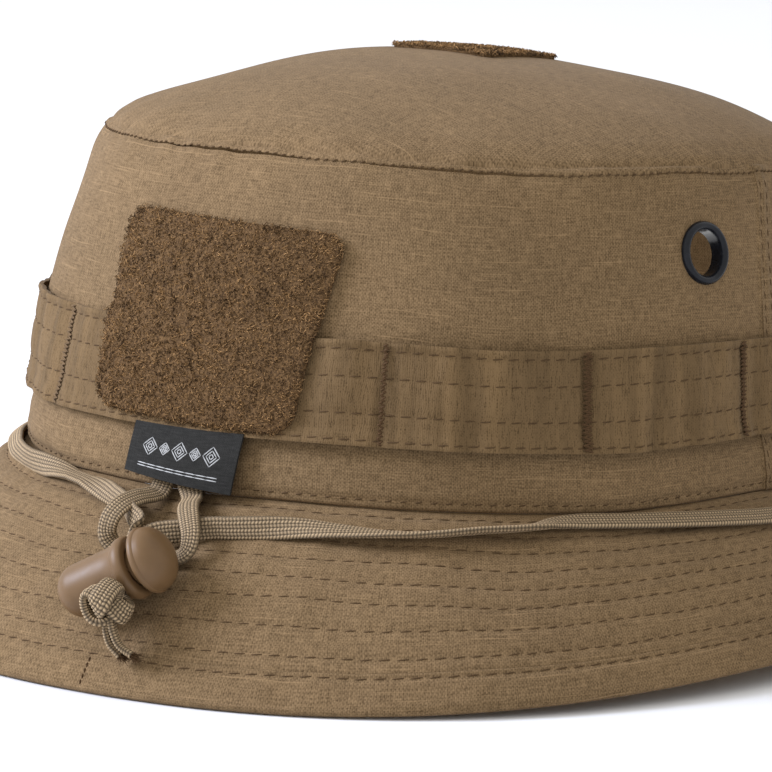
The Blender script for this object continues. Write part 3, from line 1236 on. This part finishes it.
def binding():
    """The folded tape round the edge, with its stitched inner edge and its joint at the back."""
    angles = np.linspace(0, 2 * math.pi, 900, endpoint=False)
    rows = []
    start = np.linspace(BINDING_START, BINDING_START + 0.03, 7)
    for reach in np.concatenate([start, np.linspace(0.878, NOSE_REACH, 9)]):
        share = np.full_like(angles, reach)
        edge = smoothstep(reach, BINDING_START - 0.002, BINDING_START + 0.008)
        rows.append(over_brim(angles, share, 0.08 * MM + 0.45 * MM * edge + brim_relief(angles, share)))
    nose = np.full_like(angles, NOSE_REACH)
    out = normals(brim, angles, nose, -1)
    along = unit(brim(angles, nose + 0.01) - brim(angles, nose))
    middle = over_brim(angles, nose, NOSE_SHIFT)
    for turn in np.radians(np.linspace(22, 180, 8)):
        rows.append(middle + (out * math.cos(turn) + along * math.sin(turn)) * NOSE_RADIUS)
    for reach in np.linspace(0.93, BINDING_START + 0.02, 7):
        share = np.full_like(angles, reach)
        rows.append(over_brim(angles, share, -2.55 * MM + 0.5 * brim_relief(angles, share)))
    for reach, shift in ((BINDING_START + 0.022, -2.25), (0.94, -2.22), (0.945, 0.02), (BINDING_START + 0.002, 0.02)):
        share = np.full_like(angles, reach)
        part = 0.5 if shift < -1 else 1.0
        rows.append(over_brim(angles, share, shift * MM + part * brim_relief(angles, share)))
    outer = relax(np.stack(rows, 1))
    dip = 0.28 * MM * bell(around(angles - math.radians(BINDING_JOINT_ANGLE)) * BINDING_RADIUS, 0.45 * MM)
    outer[:, 2:22] -= out[:, None] * dip[:, None, None]
    rows_count, columns = outer.shape[:2]
    i, j = np.meshgrid(np.arange(rows_count), np.arange(columns), indexing="ij")
    ids = quads(i, j, (i + 1) % rows_count, (j + 1) % columns, columns)
    u = np.linspace(0, 2 * math.pi, rows_count + 1) * BINDING_RADIUS
    v = np.append(lengths_along(outer[0]), 60 * MM)
    spots = np.stack([np.stack([u[i + a], v[j + b]], -1) for a, b in ((0, 0), (1, 0), (1, 1), (0, 1))], -2)
    outer[..., 2] = np.maximum(outer[..., 2], 0.0)
    piece = add_mesh("brim_binding_tape", outer.reshape(-1, 3), ids.tolist(), ripstop(), spots.reshape(-1, 2))
    stand_in(piece, "brim_edge_binding")
    reaches = np.linspace(BINDING_START + 0.03, 0.97, 40)
    angle = np.full_like(reaches, math.radians(BINDING_JOINT_ANGLE) + 0.0035)
    lift = 0.5 * MM + brim_relief(angle, reaches)
    joint = stitched(over_brim, angle, reaches, lift, 1.5 * MM)
    sewn("binding_joint_stitching", [joint], 0.2 * MM, dark_thread())


def brim_stitches():
    """The round rows and the drifting ones, on the brim's upper and lower faces."""
    upper, lower = [], []
    angle = np.linspace(0, 2 * math.pi, 3000)
    for number, reach in enumerate(brim_rows(angle)):
        over, under = (0.53 * MM, 2.55 * MM) if number == BINDING_ROW else (0.0, 2.2 * MM)
        relief = brim_relief(angle, reach)
        upper.append(stitched(over_brim, angle, reach, relief + over, 4.1 * MM))
        lower.append(stitched(over_brim, angle, reach, 0.5 * relief - under, 4.1 * MM, side=-1))
    sewn("brim_stitching_upper", upper)
    sewn("brim_stitching_lower", lower)


def brim_pieces():
    stiffener = plain("stiffener", (0.55, 0.52, 0.46), 0.9, 0.1, 700.0)
    brim_layer("brim_upper_cloth", "brim_upper", 0.0, -0.7, 76, 700, 0.955, ripstop())
    brim_layer("brim_stiffener", "brim_interlining", -0.78, -1.42, 14, 240, 0.94, stiffener)
    brim_layer("brim_lower_cloth", "brim_lower", -1.5, -2.2, 76, 700, 0.94, ripstop())


# ---------------------------------------------------------------- inside pieces

def inner_strips():
    full = np.linspace(0, 2 * math.pi, 480, endpoint=False)
    u = np.linspace(0, 2 * math.pi, 481) * BASE_HALF_LENGTH

    def strip(name, node, angles, heights, inside, thick, wrap, lines, seed):
        angle, height = np.meshgrid(angles, heights, indexing="ij")
        flat = flat_grid(angle * BASE_HALF_LENGTH, height * SIDE_LENGTH)
        wave = 0.22 * MM * noise(flat * (1.0, 0.4, 1.0), 7 * MM, seed)
        base = side_relief(angle, height) * smoothstep(height, 0.0, 0.1)
        grooves = -sum(row_groove((height - line) * SIDE_LENGTH, 0.22 * MM, 0.8 * MM) for line in lines)
        shift = base - inside
        outer = on_crown(angle, height, shift)
        inner = on_crown(angle, height, shift - thick + np.minimum(wave, 0) + grooves)
        coordinates = u if wrap else angles * BASE_HALF_LENGTH
        piece = shell(name, outer, inner, coordinates, heights * SIDE_LENGTH, ripstop(), wrap)
        stand_in(piece, node)
        paths = []
        for line in lines:
            turn = np.linspace(0, 2 * math.pi, 1200)
            level = np.full_like(turn, line)
            lift = side_relief(turn, level) - inside - thick + 0.2 * MM
            paths.append(stitched(on_crown, turn, level, lift, 3.0 * MM, side=-1))
        if paths:
            sewn(f"{name}_stitching", paths)

    strip("sweatband_cloth", "sweatband", full, np.linspace(0.02, SWEATBAND_HEIGHT, 26), 1.25 * MM, 0.9 * MM, True,
          (0.045, SWEATBAND_HEIGHT - 0.03), 81)
    strip("tip_tape_cloth", "tip_seam_tape", full, np.linspace(0.89, 0.962, 8), 1.25 * MM, 0.6 * MM, True, (0.90,), 82)
    for side, middle in (("right", 0.0), ("left", 180.0)):
        angles = np.radians(np.linspace(middle - 3.6, middle + 3.6, 14))
        strip(f"side_tape_cloth_{side}", f"side_seam_tape_{side}", angles, np.linspace(0.46, 0.87, 40),
              1.25 * MM, 0.5 * MM, False, (), 83)


# ---------------------------------------------------------------- turned pieces

def frame_at(centre, axis, across):
    z = Vector(axis).normalized()
    y = z.cross(Vector(across)).normalized()
    x = y.cross(z)
    placed = Matrix((x, y, z)).transposed().to_4x4()
    placed.translation = Vector(centre)
    return placed


def arc(centre_z, centre_r, radius_z, radius_r, first, last, count):
    """Profile points along part of an ellipse, angles from the +Z direction."""
    return [(centre_z + radius_z * math.cos(t), centre_r + radius_r * math.sin(t))
            for t in (math.radians(a) for a in np.linspace(first, last, count))]


def turned(name, profile, placed, finish, closed, body):
    """A piece turned about its own Z axis, from a profile of heights and radii in mm."""
    turn = np.arange(ROUND_FACETS) * 2 * math.pi / ROUND_FACETS
    rows, points = [], []
    for height, radius in profile:
        if radius < 1e-6:
            rows.append([len(points)] * ROUND_FACETS)
            points.append((0.0, 0.0, height))
            continue
        rows.append(list(range(len(points), len(points) + ROUND_FACETS)))
        points += [(radius * math.cos(t), radius * math.sin(t), height) for t in turn]
    faces = []
    for low, high in zip(rows, rows[1:] + (rows[:1] if closed else [])):
        for i in range(ROUND_FACETS):
            j = (i + 1) % ROUND_FACETS
            faces.append(list(dict.fromkeys([low[i], low[j], high[j], high[i]])))
    placed = np.array(placed)
    points = np.array(points) * MM @ placed[:3, :3].T + placed[:3, 3]
    return add_mesh(name, points, faces, finish, body=body)


def eyelets():
    bore, rim = EYELET_BORE / MM, EYELET_RADIUS / MM
    half = (rim - bore) / 2
    ring = arc(0.1, bore + half, 1.45, half, -90, 90, 17)[::-1]
    ring += [(-2.6, bore), (-2.6, bore + 0.4), (-0.1, bore + 0.5)]
    washer = [(-1.3, bore + 0.9), (-1.3, rim), (-1.6, rim + 0.05), (-1.85, rim - 0.3), (-1.95, bore + 1.1)]
    places = {"right_rear": -EYELET_ANGLE, "right_front": EYELET_ANGLE,
              "left_front": 180 - EYELET_ANGLE, "left_rear": 180 + EYELET_ANGLE}
    for place, degrees in places.items():
        angle, height = np.array(math.radians(degrees)), np.array(EYELET_HEIGHT)
        centre = relax(on_crown(angle, height, side_relief(angle, height)))
        placed = frame_at(centre, normals(crown_side, angle, height, 1), (0, 0, 1))
        for part, profile in (("eyelet", ring), ("eyelet_washer", washer)):
            piece = turned(f"{part}_ring_{place}", profile, placed, black_enamel(), True, "hat")
            stand_in(piece, f"{part}_{place}")


def carve(thing, placed, first, last):
    """Cuts the cord's slot through a turned piece, between two heights in mm, and keeps it in the mesh."""
    work = bmesh.new()
    bmesh.ops.create_cube(work, size=1.0)
    size = Matrix.Diagonal((2 * SLOT_HALF_HEIGHT, 2 * SLOT_REACH, (last - first) * MM, 1.0))
    shift = Matrix.Translation((0, 0, (first + last) / 2 * MM))
    bmesh.ops.transform(work, matrix=placed @ shift @ size, verts=work.verts)
    bmesh.ops.bevel(work, geom=work.edges[:], offset=0.5 * MM, segments=2, affect="EDGES")
    mesh = bpy.data.meshes.new("cutter")
    work.to_mesh(mesh)
    work.free()
    cutter = bpy.data.objects.new("cutter", mesh)
    bpy.context.scene.collection.objects.link(cutter)
    modifier = thing.modifiers.new("slot", "BOOLEAN")
    modifier.operation = "DIFFERENCE"
    modifier.solver = "EXACT"
    modifier.object = cutter
    evaluated = thing.evaluated_get(bpy.context.evaluated_depsgraph_get())
    mesh = bpy.data.meshes.new_from_object(evaluated)
    thing.modifiers.remove(modifier)
    thing.data = mesh
    mesh.shade_smooth()
    mesh.set_sharp_from_angle(angle=math.radians(35))
    bpy.data.objects.remove(cutter, do_unlink=True)


def cord_lock():
    """A round barrel and a sprung plunger with a domed cap; the profiles are heights and radii in mm."""
    placed = frame_at(LOCK_CENTRE, LOCK_AXIS, LOCK_AXIS.cross(CORD_DIRECTION))
    barrel = [(-14.4, 0.0)] + arc(-8.8, 0.0, 5.6, 6.25, 180, 90, 14)[1:] + [(0.0, 6.35), (2.9, 6.45)]
    barrel += arc(5.0, 6.5, 1.5, 0.95, 160, 20, 11)
    barrel += [(6.6, 6.2), (6.55, 5.2), (6.1, 4.7), (-9.3, 4.7), (-9.4, 0.0)]
    body = turned("lock_barrel", barrel, placed, brown_plastic(), False, "cord_lock")
    carve(body, placed, -4.1, 4.1)
    stand_in(body, "cord_lock_barrel")
    cap = [(-5.2, 0.0), (-5.2, 4.2), (-5.0, 4.4), (8.5, 4.4), (8.8, 4.9)]
    cap += arc(9.6, 7.1, 0.9, 0.75, 190, 30, 10)
    cap += arc(10.6, 0.0, 4.6, 7.45, 80, 0, 16)[:-1] + [(15.2, 0.0)]
    knob = turned("lock_plunger", cap, placed, brown_plastic(), False, "plunger")
    carve(knob, placed, -4.1, 6.3)
    stand_in(knob, "cord_lock_plunger")
    turns, steps = 3, 24
    turn = np.arange(turns * steps + 1) * 2 * math.pi / steps
    height = np.linspace(-8.7, -5.9, len(turn)) * MM
    coil = np.stack([3.4 * MM * np.cos(turn), 3.4 * MM * np.sin(turn), height, np.ones_like(turn)], -1)
    coil = (coil @ np.array(placed).T)[:, :3]
    steel = plain("spring_wire", (0.55, 0.55, 0.56), 0.35, 0.05, 900.0, 1.0)
    points, faces = threads(coil[None], 0.35 * MM, 10)
    spring = add_mesh("lock_spring_coil", points, faces, steel, body="cord_lock")
    stand_in(spring, "cord_lock_spring")
    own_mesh(spring)
    return body, knob, spring


# ---------------------------------------------------------------- floor and light

def stage():
    floor = bpy.data.meshes.new("floor")
    size = 6.0
    floor.from_pydata([(-size, -size, 0), (size, -size, 0), (size, size, 0), (-size, size, 0)], [], [(0, 1, 2, 3)])
    shader, _, principled = new_material("pale_floor")
    principled.inputs["Base Color"].default_value = (0.78, 0.78, 0.78, 1.0)
    principled.inputs["Roughness"].default_value = 0.8
    floor.materials.append(shader)
    thing = bpy.data.objects.new("floor", floor)
    bpy.context.scene.collection.objects.link(thing)
    world = bpy.data.worlds.new("studio")
    world.use_nodes = True
    background = world.node_tree.nodes["Background"]
    background.inputs["Color"].default_value = (1.0, 1.0, 1.0, 1.0)
    background.inputs["Strength"].default_value = 1.0
    bpy.context.scene.world = world
    bpy.context.scene.view_settings.view_transform = "Standard"

    def lamp(name, place, size_x, size_y, power, colour=(1.0, 1.0, 1.0)):
        light = bpy.data.lights.new(name, "AREA")
        light.color = colour
        light.shape = "RECTANGLE"
        light.size = size_x
        light.size_y = size_y
        light.energy = power
        bulb = bpy.data.objects.new(name, light)
        bulb.location = place
        aim = Vector((0.0, 0.0, 0.06)) - Vector(place)
        bulb.rotation_euler = aim.to_track_quat("-Z", "Y").to_euler()
        bpy.context.scene.collection.objects.link(bulb)

    lamp("key", (-1.23, -1.06, 0.99), 0.8, 0.8, 43.0, (0.96, 1.03, 1.25))
    lamp("inside", (0.0, 0.0, 0.004), 0.12, 0.12, 0.12)


# ---------------------------------------------------------------- the hat

camera()
cord, cord_line = drawcord()
knot_piece, tail_pieces = knot()
keeper()
lock_pieces = cord_lock()
side_panel("crown_front_cloth", "crown_side_front", 0.0, 180.0)
side_panel("crown_rear_cloth", "crown_side_rear", 180.0, 360.0)
dome_piece()
crown_stitches()
foliage_band()
bartacks()
patches()
label()
brim_pieces()
binding()
brim_stitches()
inner_strips()
eyelets()
stage()
